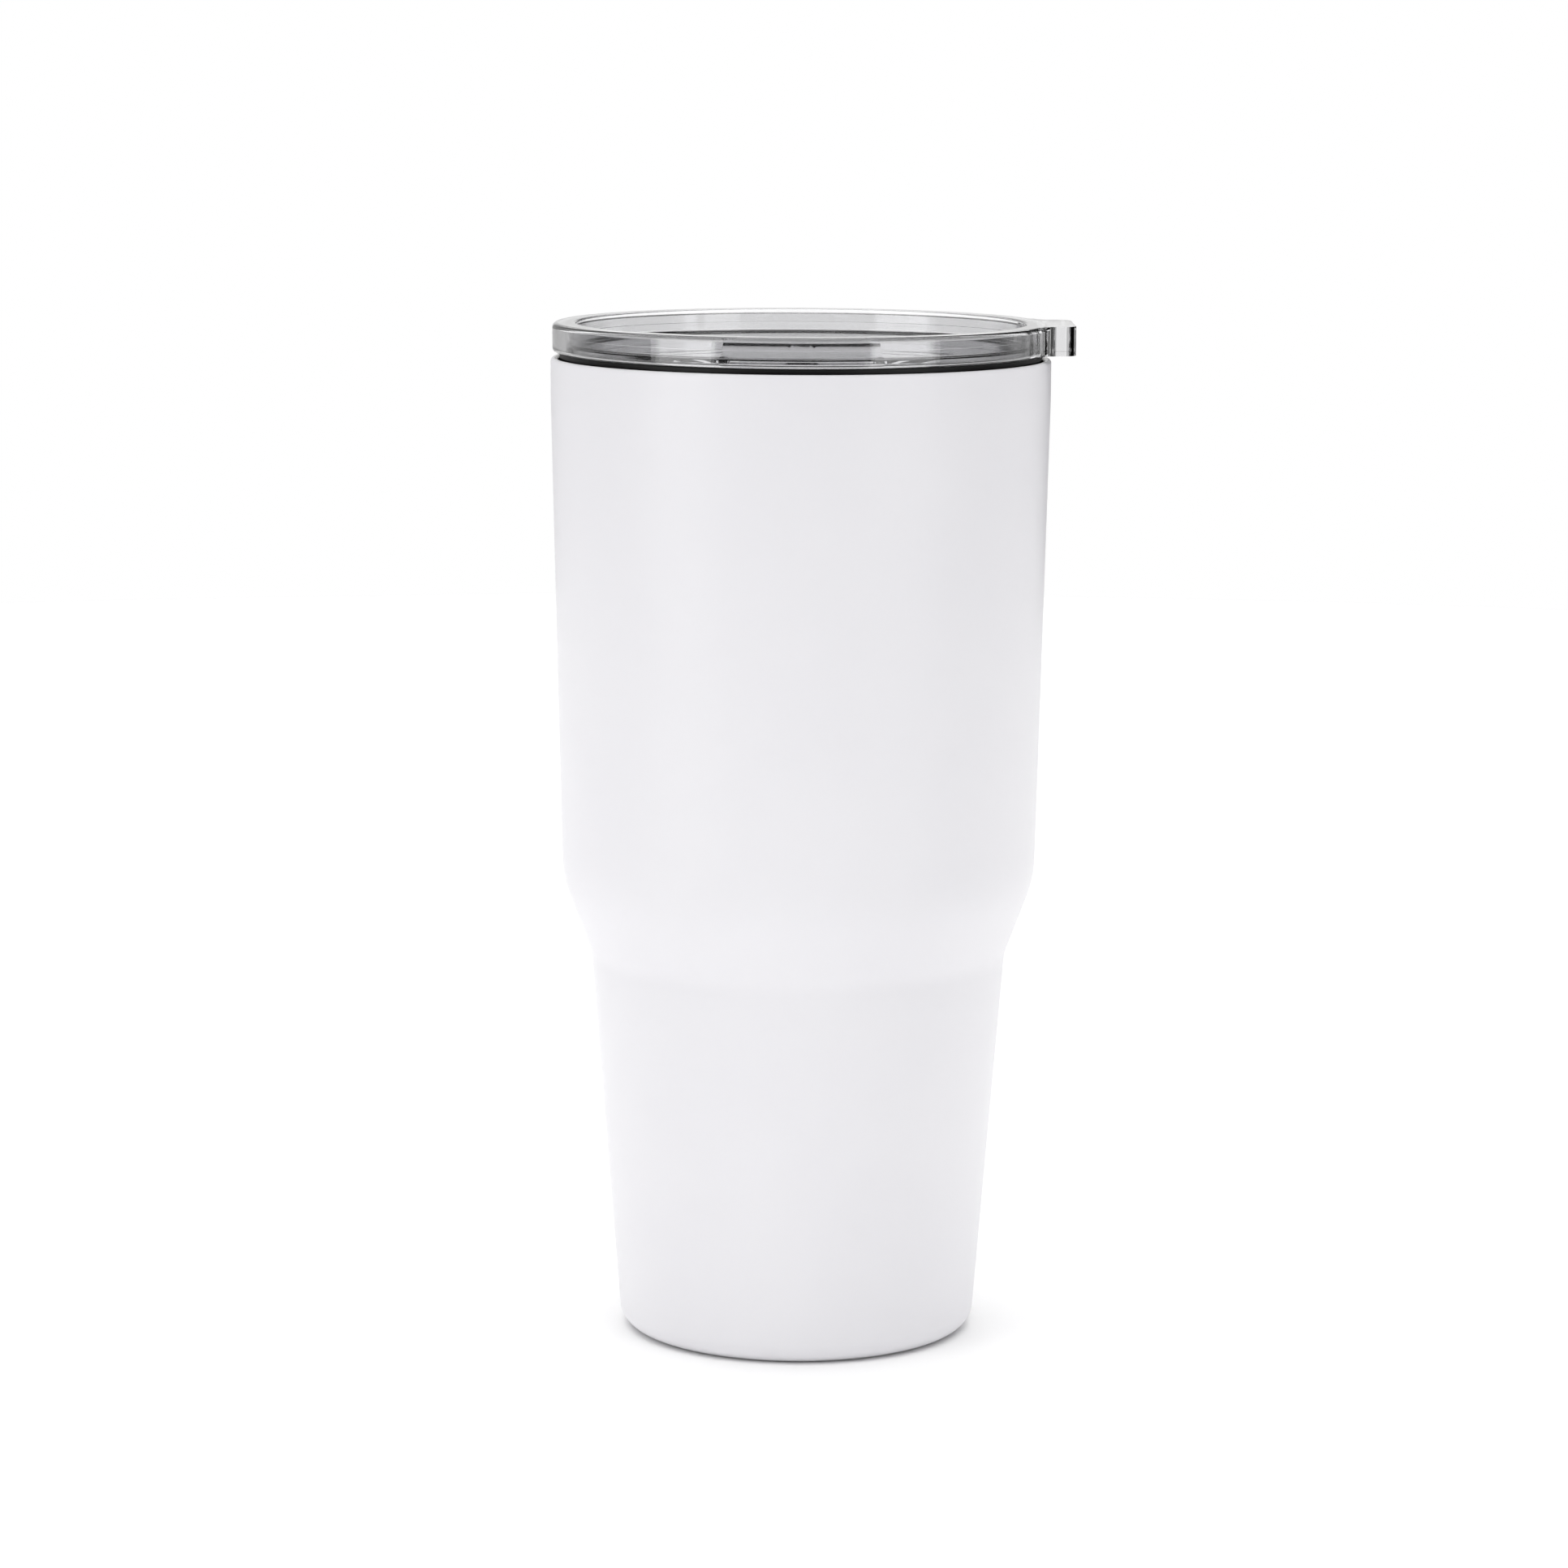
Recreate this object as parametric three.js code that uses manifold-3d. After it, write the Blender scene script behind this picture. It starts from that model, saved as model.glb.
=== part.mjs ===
// Insulated tumbler with a press-in slide lid.
// Millimetres, +Z up. The origin is on the cup's axis, at the plane that the foot ring stands on.
// The drinking edge faces -Y and the pry tab faces +X.

import * as THREE from 'three';
import { mergeVertices } from 'three/addons/utils/BufferGeometryUtils.js';
import Module from 'manifold-3d';

const wasm = await Module();
wasm.setup();

// ---- driving dimensions ----

const turnSteps = 48; // facets round every turned piece
const hiddenSteps = 24; // facets round the small pieces of the base
const arcStep = 32; // most degrees for each facet of a rounded corner
const seam = 0.1; // left open where two pieces are welded, pressed or snapped together

// Outer wall: a tapered foot that fits a car's cup holder, a cone, and a wider upper cup.
const sheet = 0.5; // steel of the outer wall and of the liner
const footRadius = 36.3; // the lower wall carried down to the ground
const footRounding = 4.5;
const creaseRadius = 42.46;
const creaseHeight = 78.5;
const creaseRounding = 10;
const shoulderRadius = 48.36;
const shoulderHeight = 94.4;
const shoulderRounding = 21;
const rimRadius = 50.6;
const lipHeight = 200.3;
const lipRounding = 0.75; // half the width of the rolled drinking lip
const footRingInner = 29.6;
const footReturn = 3.2; // how far the foot ring is turned up inside

// Liner: straight behind the lid's plug, then drawn in to leave the vacuum gap.
const wallBuild = 6; // from the outer face to the liner's inner face
const plugSeatRadius = 49.05;
const plugSeatBottom = 186;
const neckBottom = 170;
const linerWeldHeight = 20;
const linerFloor = 13;
const linerFloorRounding = 7;
const foilGap = 0.4;
const foil = 0.2;

// Base: the welded bottom with its pump-out hole, and the plate that hides it.
const bottomHeight = 3.4;
const bottomSheet = 0.6;
const dimpleDepth = 2;
const pumpHoleRadius = 1.6;
const coverHeight = 1;
const getterOffset = 16;

// Lid: one clear moulding with a rim, a sunk floor and a plug.
const lidRadius = 50.3;
const lidTop = 207.4;
const rimUnderside = 201.4;
const skirtWall = 2.8;
const recessRadius = 45.5;
const recessFloor = 202.6;
const floorThickness = 1.8;
const channelRadius = 46.8; // inner side of the open channel behind the skirt, at its top
const channelTop = 206.6;
// The channel narrows upwards in steps: the radius and height of each ledge on its inner side.
const channelLedges = [[46.4, 203], [46.6, 204.7]];
const plugRadius = 46.7;
const plugInner = 43.9;
const plugBottom = 190;
const grooveRadius = 45.6;
const grooveBottom = 193;

const tabReach = 55.1;
const tabHalfWidth = 12;
const tabCorner = 3;
const tabRoot = 3.4; // rounding where the tab leaves the skirt

const bayHalfWidth = 15.5; // the sunk track that the slider runs in
const bayDepth = 2.2;
const bayBack = 6;
const bayReach = 44.3;
const lipReach = 1.6; // how far the floor reaches over each edge of the slider
const lipThickness = 0.9;
const lipFront = -37.8;
const lipBack = 3;
const sipWidth = 20;
const sipDepth = 7;
const sipCentre = -37.2;
const ventRadius = 1.5;
const ventCentre = 26;

// Slider, drawn closed. It opens towards +Y.
const sliderHalfWidth = 15;
const sliderReach = 44;
const sliderBack = -14;
const sliderUnderside = 200.7;
const sliderTop = 202.3;
const tongueTop = 201.4;
const gripHalfWidth = 15.3;
const gripReach = 44.9;
const gripTop = 207.2;
const gripFoot = 203; // clears the lid's floor when the slider is open
const gripCrest = 2.4; // thickness of the upright grip at its top
const gripBack = -42.2; // its back at the foot, leaning in by the mould's draft
const sealHalfWidth = 12;
const sealReach = 43.2;
const sealBack = -32.4;
const sealTop = 201.3;

const rounding = 0.3; // small moulded edges

// ---- materials ----

const material = (color, roughness, metalness, opacity = 1) =>
  new THREE.MeshStandardMaterial({ color, roughness, metalness, opacity, transparent: opacity < 1 });

const finishes = {
  whiteCoat: () => material(0xf0f0f2, 0.35, 0),
  steel: () => material(0xc4c6c8, 0.28, 1),
  copper: () => material(0xb87350, 0.35, 1),
  solder: () => material(0x8e9093, 0.5, 1),
  getterPowder: () => material(0x4a4b4d, 0.8, 0.3),
  blackSilicone: () => material(0x0c0c0d, 0.55, 0),
  paleSilicone: () => material(0xd9dadb, 0.6, 0, 0.8),
  clearPlastic: () => material(0xeef0f1, 0.05, 0, 0.35),
};

// ---- outlines ----

// Replaces each corner [r, z, radius] that has a radius by an arc, one point for each arcStep.
function rounded(corners, closed) {
  const count = corners.length;
  return corners.flatMap(([r, z, radius], i) => {
    const corner = new THREE.Vector2(r, z);
    const isEnd = !closed && (i === 0 || i === count - 1);
    if (!radius || isEnd) return [corner];
    const before = new THREE.Vector2(...corners[(i + count - 1) % count]).sub(corner).normalize();
    const after = new THREE.Vector2(...corners[(i + 1) % count]).sub(corner).normalize();
    const inside = Math.acos(THREE.MathUtils.clamp(before.dot(after), -1, 1));
    const turn = Math.PI - inside;
    const reach = radius / Math.sin(inside / 2);
    const centre = before.clone().add(after).setLength(reach).add(corner);
    const first = before.clone().multiplyScalar(radius / Math.tan(inside / 2)).add(corner).sub(centre);
    const side = Math.sign(-before.x * after.y + before.y * after.x) || 1;
    const steps = Math.ceil(THREE.MathUtils.radToDeg(turn) / arcStep);
    return Array.from({ length: steps + 1 }, (_, k) =>
      first.clone().rotateAround(new THREE.Vector2(), (side * turn * k) / steps).add(centre));
  });
}

// Moves an open run of corners sideways, to the left of its direction, by the sheet's thickness.
function offset(corners, distance) {
  const normals = corners.slice(1).map(([r, z], i) => {
    const along = new THREE.Vector2(r - corners[i][0], z - corners[i][1]).normalize();
    return new THREE.Vector2(-along.y, along.x);
  });
  return corners.map(([r, z, radius = 0], i) => {
    const a = normals[Math.max(i - 1, 0)];
    const b = normals[Math.min(i, normals.length - 1)];
    const mitre = a.clone().add(b).multiplyScalar(distance / (1 + a.dot(b)));
    const turnsLeft = a.x * b.y - a.y * b.x > 0;
    const moved = Math.max(radius + (turnsLeft ? -distance : distance), 0);
    return [r + mitre.x, z + mitre.y, radius ? moved : 0];
  });
}

// The closed section of a formed sheet that follows a run of corners.
function formed(corners, thickness) {
  const face = rounded(corners, false);
  const back = rounded(offset(corners, thickness), false);
  return [...face, ...back.reverse()];
}

// ---- solids ----

function toSolid(geometry) {
  const bare = geometry.clone();
  bare.deleteAttribute('normal');
  bare.deleteAttribute('uv');
  const merged = mergeVertices(bare, 1e-4);
  const kept = [];
  for (let i = 0; i < merged.index.count; i += 3) {
    const [a, b, c] = [0, 1, 2].map((k) => merged.index.getX(i + k));
    if (a !== b && b !== c && c !== a) kept.push(a, b, c);
  }
  const mesh = new wasm.Mesh({
    numProp: 3,
    vertProperties: new Float32Array(merged.attributes.position.array),
    triVerts: new Uint32Array(kept),
  });
  return new wasm.Manifold(mesh);
}

function toGeometry(solid) {
  const { vertProperties, triVerts } = solid.getMesh();
  const geometry = new THREE.BufferGeometry();
  geometry.setAttribute('position', new THREE.BufferAttribute(new Float32Array(vertProperties), 3));
  geometry.setIndex(new THREE.BufferAttribute(new Uint32Array(triVerts), 1));
  geometry.computeVertexNormals();
  return geometry;
}

// A turned geometry about Z. The profile starts and ends on the axis, or is closed here on itself.
function turned(profile, steps = turnSteps) {
  const onAxis = profile[0].x === 0;
  const loop = onAxis ? profile : [...profile, profile[0]];
  const area = loop.reduce((sum, p, i) => {
    const q = loop[(i + 1) % loop.length];
    return sum + p.x * q.y - q.x * p.y;
  }, 0);
  const points = area > 0 ? loop : loop.toReversed();
  return new THREE.LatheGeometry(points, steps).rotateX(Math.PI / 2);
}

// An upright extrusion of an outline in X and Y between two heights.
function upright(outline, low, high, bevel = 0) {
  return new THREE.ExtrudeGeometry(new THREE.Shape(outline), {
    depth: high - low - 2 * bevel,
    bevelEnabled: bevel > 0,
    bevelThickness: bevel,
    bevelSize: bevel,
    bevelOffset: -bevel,
    bevelSegments: 2,
    steps: 1,
  }).translate(0, 0, low + bevel);
}

// An extrusion of an outline in Y and Z, as far to -X as to +X.
function crosswise(outline, halfWidth) {
  const options = { depth: 2 * halfWidth, bevelEnabled: false };
  const prism = new THREE.ExtrudeGeometry(new THREE.Shape(outline), options);
  return prism.translate(0, 0, -halfWidth).rotateX(Math.PI / 2).rotateZ(Math.PI / 2);
}

const rectangle = (x0, y0, x1, y1, radius = 0) =>
  rounded([[x0, y0, radius], [x1, y0, radius], [x1, y1, radius], [x0, y1, radius]], true);

const block = (x0, x1, y0, y1, z0, z1) => toSolid(upright(rectangle(x0, y0, x1, y1), z0, z1));

const disc = (radius, z0, z1) => toSolid(turned(
  [[0, z0], [radius, z0], [radius, z1], [0, z1]].map((p) => new THREE.Vector2(...p))));

function named(name, geometry, finish) {
  const mesh = new THREE.Mesh(geometry, finish());
  mesh.name = name;
  return mesh;
}

// ---- cup ----

// Radius of the outer face at a height, without the roundings.
function wallRadius(z) {
  const [[r0, z0], [r1, z1]] = z < creaseHeight
    ? [[footRadius, 0], [creaseRadius, creaseHeight]]
    : z < shoulderHeight
      ? [[creaseRadius, creaseHeight], [shoulderRadius, shoulderHeight]]
      : [[shoulderRadius, shoulderHeight], [rimRadius, lipHeight - 8]];
  return r0 + ((r1 - r0) * (z - z0)) / (z1 - z0);
}

function outerShell() {
  const wallTop = lipHeight - lipRounding;
  const face = [
    [footRingInner, footReturn],
    [footRingInner, 0, 0.8],
    [footRadius, 0, footRounding],
    [creaseRadius, creaseHeight, creaseRounding],
    [shoulderRadius, shoulderHeight, shoulderRounding],
    [rimRadius, lipHeight - 8, 60],
    [rimRadius, wallTop - 0.6],
  ];
  // The sheet is upset to half of the lip, whose crown is the weld to the liner.
  const crown = rimRadius - lipRounding;
  const lip = [
    [rimRadius, wallTop - 0.3],
    [rimRadius, lipHeight, lipRounding],
    [crown, lipHeight],
    [crown, lipHeight - 1.4],
  ];
  const outside = rounded([...face.slice(0, -1), ...lip], false);
  const inside = rounded(offset(face, sheet), false).slice(0, -1).reverse();
  const collar = new THREE.Vector2(rimRadius - sheet, lipHeight - 1.8);
  return named('outer_shell', turned([...outside, collar, ...inside]), finishes.whiteCoat);
}

// Corners of the liner's inner face, from the drinking lip down to the weld of its bottom.
const linerFace = [
  [plugSeatRadius, lipHeight - 1.6],
  [plugSeatRadius - 0.1, plugSeatBottom, 12],
  [wallRadius(neckBottom) - wallBuild, neckBottom, 12],
  [shoulderRadius - wallBuild, shoulderHeight + 1, shoulderRounding],
  [creaseRadius - wallBuild, creaseHeight + 1, creaseRounding],
  [wallRadius(linerWeldHeight) - wallBuild, linerWeldHeight],
];

function innerLiner() {
  const crown = rimRadius - lipRounding - seam / 2;
  const lip = [
    [crown, lipHeight - 1.4],
    [crown, lipHeight],
    [plugSeatRadius, lipHeight, lipRounding],
  ];
  const inside = rounded([...lip, ...linerFace], false);
  const outside = rounded(offset(linerFace, sheet), false).reverse();
  return named('inner_liner', turned([...inside, ...outside]), finishes.steel);
}

function linerBottom() {
  const radius = wallRadius(linerWeldHeight) - wallBuild;
  const face = [
    [radius, linerWeldHeight - seam],
    [radius - 0.55, linerFloor, linerFloorRounding],
    [12, linerFloor + 0.5],
    [0, linerFloor + 0.6],
  ];
  return named('liner_bottom', turned(formed(face, sheet).toReversed()), finishes.steel);
}

function copperFoil() {
  const start = sheet + foilGap;
  const low = linerFace.slice(2);
  const face = offset([[low[0][0], low[0][1] - 2], ...low.slice(1)], start);
  return named('copper_foil', turned(formed(face, foil)), finishes.copper);
}

function outerBottom() {
  const dimple = bottomHeight + dimpleDepth;
  const face = [
    [pumpHoleRadius, dimple],
    [5, dimple, 0.8],
    [7.4, bottomHeight, 1.2],
    [33.4, bottomHeight, 1.5],
    [35.9, bottomHeight + 3],
  ];
  return named('outer_bottom', turned(formed(face, bottomSheet), hiddenSteps), finishes.steel);
}

function vacuumSeal() {
  const top = bottomHeight + dimpleDepth - seam;
  const bead = [
    [0, top - 1.2], [2, top - 1], [3.4, top - 0.4], [3.4, top], [0, top],
  ].map((p) => new THREE.Vector2(...p));
  return named('vacuum_seal', turned(bead, hiddenSteps), finishes.solder);
}

function baseCover() {
  const face = [
    [0, coverHeight + 0.4],
    [20, coverHeight + 0.4, 2],
    [22, coverHeight, 2],
    [27.4, coverHeight, 1.2],
    [footRingInner - seam * 3, bottomHeight - 1],
  ];
  return named('base_cover', turned(formed(face, sheet), hiddenSteps), finishes.steel);
}

// The getter pill soaks up stray gas in the vacuum. A bent clip holds it on the welded bottom.
const pillRadius = 4.2;
const clipFloor = bottomHeight + bottomSheet + seam;
const clipSheet = 0.4;

function getter() {
  const low = clipFloor + clipSheet + seam;
  const outline = [[0, low], [pillRadius, low, rounding], [pillRadius, low + 1.8, rounding], [0, low + 1.8]];
  const pill = turned(rounded(outline, false), hiddenSteps);
  return named('getter', pill.translate(getterOffset, 0, 0), finishes.getterPowder);
}

function getterClip() {
  const half = pillRadius + seam;
  const outline = [
    [-half - 3, 0], [half + 3, 0], [half + 3, clipSheet], [half + clipSheet, clipSheet],
    [half + clipSheet, 2.9], [half, 2.9], [half, clipSheet], [-half, clipSheet],
    [-half, 2.9], [-half - clipSheet, 2.9], [-half - clipSheet, clipSheet], [-half - 3, clipSheet],
  ].map((p) => new THREE.Vector2(...p));
  const strip = new THREE.ExtrudeGeometry(new THREE.Shape(outline), { depth: 5, bevelEnabled: false });
  strip.translate(0, 0, -2.5).rotateX(Math.PI / 2).translate(getterOffset, 0, clipFloor);
  return named('getter_clip', strip, finishes.steel);
}

// ---- gasket ----

function gasket() {
  const back = grooveRadius + 0.3;
  const body = 48.1;
  const finReach = 48.75;
  const finHeights = [194.6, 197.4];
  const collarReach = 48.8;
  const top = rimUnderside - seam;
  const fins = finHeights.flatMap((z) => [
    [body, z - 0.8], [finReach, z], [finReach, z + 0.4], [body, z + 0.8],
  ]);
  const outline = [
    [back, grooveBottom + seam],
    [body, grooveBottom + seam],
    ...fins,
    [body, lipHeight - 0.7],
    [collarReach, lipHeight],
    [collarReach, top, 0.25],
    [back, top],
  ];
  return named('gasket', turned(rounded(outline, true)), finishes.blackSilicone);
}

// ---- lid ----

function lidMoulding() {
  const under = recessFloor - floorThickness;
  const skirtInner = lidRadius - skirtWall;
  return toSolid(turned(rounded([
    [0, under],
    [plugInner, under, 1],
    [plugInner, plugBottom, 0.4],
    [plugRadius - 0.2, plugBottom, 0.6],
    [plugRadius, grooveBottom],
    [grooveRadius, grooveBottom],
    [grooveRadius, rimUnderside],
    [channelLedges[0][0], rimUnderside],
    ...channelLedges.flatMap(([radius, height], i) => [
      [radius, height],
      [(channelLedges[i + 1] ?? [channelRadius])[0], height],
    ]),
    [channelRadius, channelTop, 0.35],
    [skirtInner, channelTop, 0.35],
    [skirtInner, rimUnderside],
    [lidRadius, rimUnderside, 1],
    [lidRadius, lidTop, 1.1],
    [recessRadius, lidTop, 0.5],
    [recessRadius, recessFloor, 0.9],
    [0, recessFloor],
  ], false)));
}

// The tab starts inside the skirt and flares where it leaves it.
function lidTab() {
  const inside = lidRadius - skirtWall + 0.3;
  const rootHalf = tabHalfWidth + tabRoot;
  const onSkirt = (y) => [Math.sqrt(lidRadius ** 2 - y ** 2), y];
  const outline = rounded([
    [inside - tabRoot, -rootHalf],
    onSkirt(-rootHalf),
    [...onSkirt(-tabHalfWidth), tabRoot],
    [tabReach, -tabHalfWidth, tabCorner],
    [tabReach, tabHalfWidth, tabCorner],
    [...onSkirt(tabHalfWidth), tabRoot],
    onSkirt(rootHalf),
    [inside - tabRoot, rootHalf],
  ], true);
  return toSolid(upright(outline, rimUnderside + 0.1, lidTop, 0.6))
    .subtract(disc(inside, plugBottom, lidTop));
}

// A strip of floor that covers one edge of the slider. side is 1 or -1.
function bayLip(side) {
  const edge = (bayHalfWidth - lipReach) * side;
  const root = (bayHalfWidth + 0.3) * side;
  return block(Math.min(edge, root), Math.max(edge, root), lipFront, lipBack,
    recessFloor - lipThickness, recessFloor);
}

function lidBody() {
  const bayFloor = recessFloor - bayDepth;
  const bay = (grow, low, high) => block(
    -bayHalfWidth - grow, bayHalfWidth + grow, -lidRadius, bayBack + grow, low, high,
  ).intersect(disc(bayReach + grow / 2, low, high));
  const sipOutline = rectangle(
    -sipWidth / 2, sipCentre - sipDepth / 2, sipWidth / 2, sipCentre + sipDepth / 2, sipDepth / 2 - 0.1);
  const sip = toSolid(upright(sipOutline, bayFloor - 5, lidTop));
  const vent = disc(ventRadius, plugBottom, lidTop).translate([0, ventCentre, 0]);
  const solid = lidMoulding()
    .add(lidTab())
    .add(bay(1.6, bayFloor - floorThickness, recessFloor - 0.5))
    .subtract(bay(0, bayFloor, lidTop))
    .add(bayLip(1))
    .add(bayLip(-1))
    .subtract(sip)
    .subtract(vent);
  return named('lid_body', toGeometry(solid), finishes.clearPlastic);
}

// ---- slider ----

function slider() {
  const inside = bayHalfWidth - lipReach - 0.5;
  const front = -sliderReach;
  const grip = toSolid(crosswise(rounded([
    [-gripReach, gripFoot],
    [gripBack, gripFoot],
    [gripCrest - gripReach, gripTop, rounding],
    [-gripReach, gripTop, rounding],
  ], true), gripHalfWidth)).intersect(disc(gripReach, gripFoot - 1, lidTop));
  const plate = block(-sliderHalfWidth, sliderHalfWidth, front, sliderBack, sliderUnderside, tongueTop)
    .add(block(-inside, inside, front, sliderBack, tongueTop - 0.2, sliderTop))
    .add(block(-inside, inside, front, gripBack - 0.2, sliderTop - 0.2, gripFoot + 0.2))
    .intersect(disc(sliderReach, plugBottom, lidTop));
  const pocket = block(-sealHalfWidth - seam, sealHalfWidth + seam, front, sealBack + seam,
    sliderUnderside - 1, sealTop + seam).intersect(disc(sealReach + seam, plugBottom, lidTop));
  return named('slider', toGeometry(plate.add(grip).subtract(pocket)), finishes.clearPlastic);
}

function sliderSeal() {
  const low = recessFloor - bayDepth + seam;
  const pad = block(-sealHalfWidth, sealHalfWidth, -sealReach, sealBack, low, sealTop)
    .intersect(disc(sealReach, low, sealTop));
  return named('slider_seal', toGeometry(pad), finishes.paleSilicone);
}

// ---- assembly ----

const tumbler = new THREE.Group();
tumbler.add(
  outerShell(), innerLiner(), linerBottom(), copperFoil(),
  outerBottom(), vacuumSeal(), baseCover(), getter(), getterClip(),
);

const lid = new THREE.Group();
lid.add(gasket(), lidBody(), slider(), sliderSeal());

const object = new THREE.Group();
object.add(tumbler, lid);

export default object;
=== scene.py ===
from math import ceil, cos, degrees, pi, radians, sin, tan

import bmesh
import bpy
from mathutils import Matrix, Vector


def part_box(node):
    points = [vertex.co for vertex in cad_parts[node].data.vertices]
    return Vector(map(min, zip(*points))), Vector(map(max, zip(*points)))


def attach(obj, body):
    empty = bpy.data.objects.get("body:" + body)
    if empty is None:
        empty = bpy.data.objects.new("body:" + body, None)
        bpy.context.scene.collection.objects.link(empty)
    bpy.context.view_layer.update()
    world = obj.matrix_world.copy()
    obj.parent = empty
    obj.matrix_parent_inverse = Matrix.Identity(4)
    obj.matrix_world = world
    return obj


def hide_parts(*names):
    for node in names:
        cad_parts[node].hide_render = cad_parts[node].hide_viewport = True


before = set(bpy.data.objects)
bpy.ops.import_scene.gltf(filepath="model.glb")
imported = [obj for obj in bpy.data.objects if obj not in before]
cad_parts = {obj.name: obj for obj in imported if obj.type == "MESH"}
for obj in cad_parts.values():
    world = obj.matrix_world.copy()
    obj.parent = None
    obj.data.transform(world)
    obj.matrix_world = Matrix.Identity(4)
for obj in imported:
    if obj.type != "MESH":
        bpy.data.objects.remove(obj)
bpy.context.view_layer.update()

# insulated tumbler with a clear slide lid. Shapes are worked out in millimetres and scaled at the end.
mm = 0.001
turnSteps = 192   # facets round the big turned pieces
arcStep = 9       # most degrees for each facet of a rounding


def boxOf(node):
    low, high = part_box(node)
    return [v / mm for v in low], [v / mm for v in high]


shellHigh = boxOf("outer_shell")[1]
lidLow, lidHigh = boxOf("lid_body")
gasketLow, gasketHigh = boxOf("gasket")
sliderLow, sliderHigh = boxOf("slider")
sealLow, sealHigh = boxOf("slider_seal")
coverLow, coverHigh = boxOf("base_cover")
print("frame loaded, cup is", round(shellHigh[2], 1), "mm tall")


# corners are (r, z) or (r, z, rounding); each rounding becomes an arc
def roundedOutline(corners, closed=True, step=arcStep):
    points = []
    for i, corner in enumerate(corners):
        here = Vector(corner[:2])
        rounding = corner[2] if len(corner) > 2 else 0
        if not rounding or (not closed and i in (0, len(corners) - 1)):
            points.append(here)
            continue
        before = (Vector(corners[i - 1][:2]) - here).normalized()
        after = (Vector(corners[(i + 1) % len(corners)][:2]) - here).normalized()
        inside = before.angle(after)
        centre = here + (before + after).normalized() * rounding / sin(inside / 2)
        arm = here + before * rounding / tan(inside / 2) - centre
        side = -1 if before.x * after.y - before.y * after.x > 0 else 1
        steps = max(2, ceil(degrees(pi - inside) / step))
        for k in range(steps + 1):
            points.append(centre + Matrix.Rotation(side * (pi - inside) * k / steps, 2) @ arm)
    return points


# an open run of corners moved sideways, to the left of its direction
def offsetCorners(corners, distance):
    alongs = [(Vector(b[:2]) - Vector(a[:2])).normalized() for a, b in zip(corners, corners[1:])]
    normals = [Vector((-a.y, a.x)) for a in alongs]
    moved = []
    for i, corner in enumerate(corners):
        a, b = normals[max(i - 1, 0)], normals[min(i, len(normals) - 1)]
        mitre = (a + b) * distance / (1 + a.dot(b))
        turnsLeft = a.x * b.y - a.y * b.x > 0
        rounding = corner[2] if len(corner) > 2 else 0
        rounding = max(rounding + (-distance if turnsLeft else distance), 0) if rounding else 0
        moved.append((corner[0] + mitre.x, corner[1] + mitre.y, rounding))
    return moved


def sheetOutline(corners, thickness):
    face = roundedOutline(corners, closed=False)
    back = roundedOutline(offsetCorners(corners, thickness), closed=False)
    return face + back[::-1]


def meshFrom(bm, name):
    bmesh.ops.recalc_face_normals(bm, faces=bm.faces)
    mesh = bpy.data.meshes.new(name)
    bm.to_mesh(mesh)
    bm.free()
    piece = bpy.data.objects.new(name, mesh)
    bpy.context.scene.collection.objects.link(piece)
    return piece


def turnedPiece(name, outline, steps=turnSteps):
    bm = bmesh.new()
    rings = []
    for r, z in outline:
        if r < 1e-6:
            rings.append([bm.verts.new((0, 0, z))] * steps)
        else:
            turns = [2 * pi * k / steps for k in range(steps)]
            rings.append([bm.verts.new((r * cos(a), r * sin(a), z)) for a in turns])
    for ring, nextRing in zip(rings, rings[1:] + rings[:1]):
        for k in range(steps):
            corners = [ring[k], ring[k - 1], nextRing[k - 1], nextRing[k]]
            corners = list(dict.fromkeys(corners))
            if len(corners) > 2:
                bm.faces.new(corners)
    return meshFrom(bm, name)


# a prism of an outline in X and Y between two heights
def uprightPiece(name, outline, low, high):
    bm = bmesh.new()
    floor = [bm.verts.new((x, y, low)) for x, y in outline]
    roof = [bm.verts.new((x, y, high)) for x, y in outline]
    bm.faces.new(floor)
    bm.faces.new(roof)
    for i in range(len(outline)):
        bm.faces.new((floor[i - 1], floor[i], roof[i], roof[i - 1]))
    return meshFrom(bm, name)


# a prism of an outline in Y and Z that runs from -half to half in X
def crosswisePiece(name, outline, half):
    piece = uprightPiece(name, outline, -half, half)
    piece.data.transform(Matrix(((0, 0, 1, 0), (1, 0, 0, 0), (0, 1, 0, 0), (0, 0, 0, 1))))
    return piece


def discPiece(radius, low, high, steps=turnSteps):
    return turnedPiece("disc", [(0, low), (radius, low), (radius, high), (0, high)], steps)


def blockPiece(x0, x1, y0, y1, z0, z1, rounding=0, name="tool"):
    corners = [(x0, y0, rounding), (x1, y0, rounding), (x1, y1, rounding), (x0, y1, rounding)]
    return uprightPiece(name, roundedOutline(corners), z0, z1)


def bakeModifiers(piece):
    graph = bpy.context.evaluated_depsgraph_get()
    mesh = bpy.data.meshes.new_from_object(piece.evaluated_get(graph))
    piece.modifiers.clear()
    old, piece.data = piece.data, mesh
    bpy.data.meshes.remove(old)


# joins or cuts with each tool in turn, then removes the tool
def combine(piece, operation, *tools):
    for tool in tools:
        change = piece.modifiers.new("combine", "BOOLEAN")
        change.operation = operation
        change.solver = "EXACT"
        change.object = tool
        bakeModifiers(piece)
        bpy.data.objects.remove(tool)
    return piece


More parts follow.
